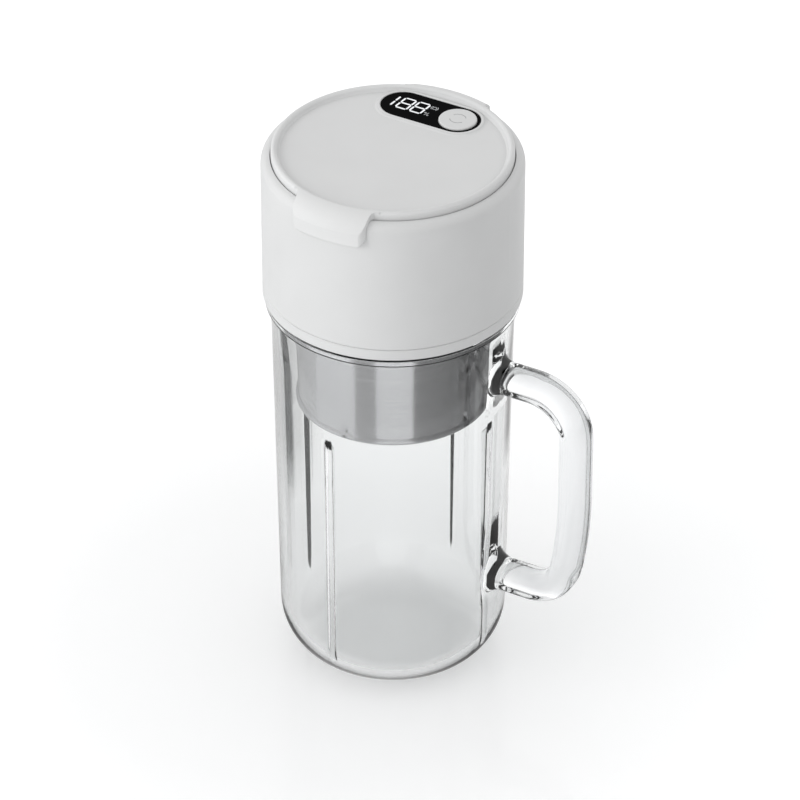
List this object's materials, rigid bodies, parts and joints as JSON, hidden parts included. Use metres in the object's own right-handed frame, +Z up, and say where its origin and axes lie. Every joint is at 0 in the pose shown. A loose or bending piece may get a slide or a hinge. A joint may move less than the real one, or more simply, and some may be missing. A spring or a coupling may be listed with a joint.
{
  "type": "portable blender mug",
  "caption": "Rechargeable blender mug: a clear mug with a handle under a screw-on motor head with a digital display, a power button and a steel blade chamber.",
  "frame": {"origin": "centre of the mug's flat foot, on the axis of the mug", "axes": "+Z up along the mug's axis, +X towards the handle, -Y towards the front tab of the cover"},
  "size_m": [0.1139, 0.088, 0.1942],
  "materials": {
    "mug_body": "clear moulded plastic",
    "mug_handle": "clear moulded plastic",
    "seal_ring": "silicone",
    "threaded_collar": "satin white",
    "outer_shell": "satin white",
    "top_cover": "satin white",
    "display_window": "black tinted, polished",
    "power_button": "satin white",
    "switch_plunger": "moulded",
    "tact_switch": "moulded",
    "display_module": "moulded",
    "control_board": "green solder resist",
    "board_chips": "moulded",
    "board_screws": "zinc plated",
    "chassis": "moulded",
    "battery_cells": "blue sleeve",
    "cell_straps": "nickel plated",
    "chassis_screws": "zinc plated",
    "chamber_screws": "stainless",
    "motor_pod": "moulded",
    "motor_can": "zinc plated",
    "motor_endcap": "moulded",
    "motor_terminals": "plain",
    "drive_shaft": "ground",
    "shaft_bearing": "sintered bronze",
    "shaft_seal": "nitrile",
    "blade_hub": "stainless",
    "upper_blade": "stainless",
    "middle_blade": "stainless",
    "lower_blade": "stainless",
    "blade_nut": "stainless",
    "blade_chamber": "spun stainless, satin",
    "charge_board": "green solder resist",
    "charge_socket": "nickel plated",
    "socket_tongue": "moulded",
    "port_plug": "silicone"
  },
  "bodies": {
    "mug": {"mug_body": "mug_body", "mug_handle": "mug_handle"},
    "seal": {"seal_ring": "seal_ring"},
    "head": {"threaded_collar": "threaded_collar", "outer_shell": "outer_shell", "top_cover": "top_cover", "display_window": "display_window", "tact_switch": "tact_switch", "display_module": "display_module", "control_board": "control_board", "board_chips": "board_chips", "board_screws": "board_screws", "chassis": "chassis", "battery_cells": "battery_cells", "cell_straps": "cell_straps", "chassis_screws": "chassis_screws", "chamber_screws": "chamber_screws", "motor_pod": "motor_pod", "motor_can": "motor_can", "motor_endcap": "motor_endcap", "motor_terminals": "motor_terminals", "shaft_bearing": "shaft_bearing", "shaft_seal": "shaft_seal", "blade_chamber": "blade_chamber", "charge_board": "charge_board", "charge_socket": "charge_socket", "socket_tongue": "socket_tongue"},
    "blades": {"drive_shaft": "drive_shaft", "blade_hub": "blade_hub", "upper_blade": "upper_blade", "middle_blade": "middle_blade", "lower_blade": "lower_blade", "blade_nut": "blade_nut"},
    "button": {"power_button": "power_button", "switch_plunger": "switch_plunger"},
    "plug": {"port_plug": "port_plug"}
  },
  "joints": [
    {"name": "head_lift", "type": "slide", "parent": "mug", "child": "seal", "axis": [0, 0, 1], "range_m": [0, 0.06]},
    {"name": "head_turn", "type": "hinge", "parent": "seal", "child": "head", "pos_m": [0, 0, 0.157], "axis": [0, 0, 1], "range_deg": [0, 1080]},
    {"name": "blades_spin", "type": "hinge", "parent": "head", "child": "blades", "pos_m": [0, 0, 0.1154], "axis": [0, 0, 1], "continuous": true},
    {"name": "button_press", "type": "slide", "parent": "head", "child": "button", "axis": [0, 0, -1], "range_m": [0, 0.0005], "stiffness_N_per_m": 800, "springref_m": -0.0005},
    {"name": "plug_pull", "type": "slide", "parent": "head", "child": "plug", "axis": [0, 1, 0], "range_m": [0, 0.01]}
  ],
  "couplings": [
    {"joint": "head_turn", "follows": "head_lift", "rad_per_m": 314.16}
  ]
}
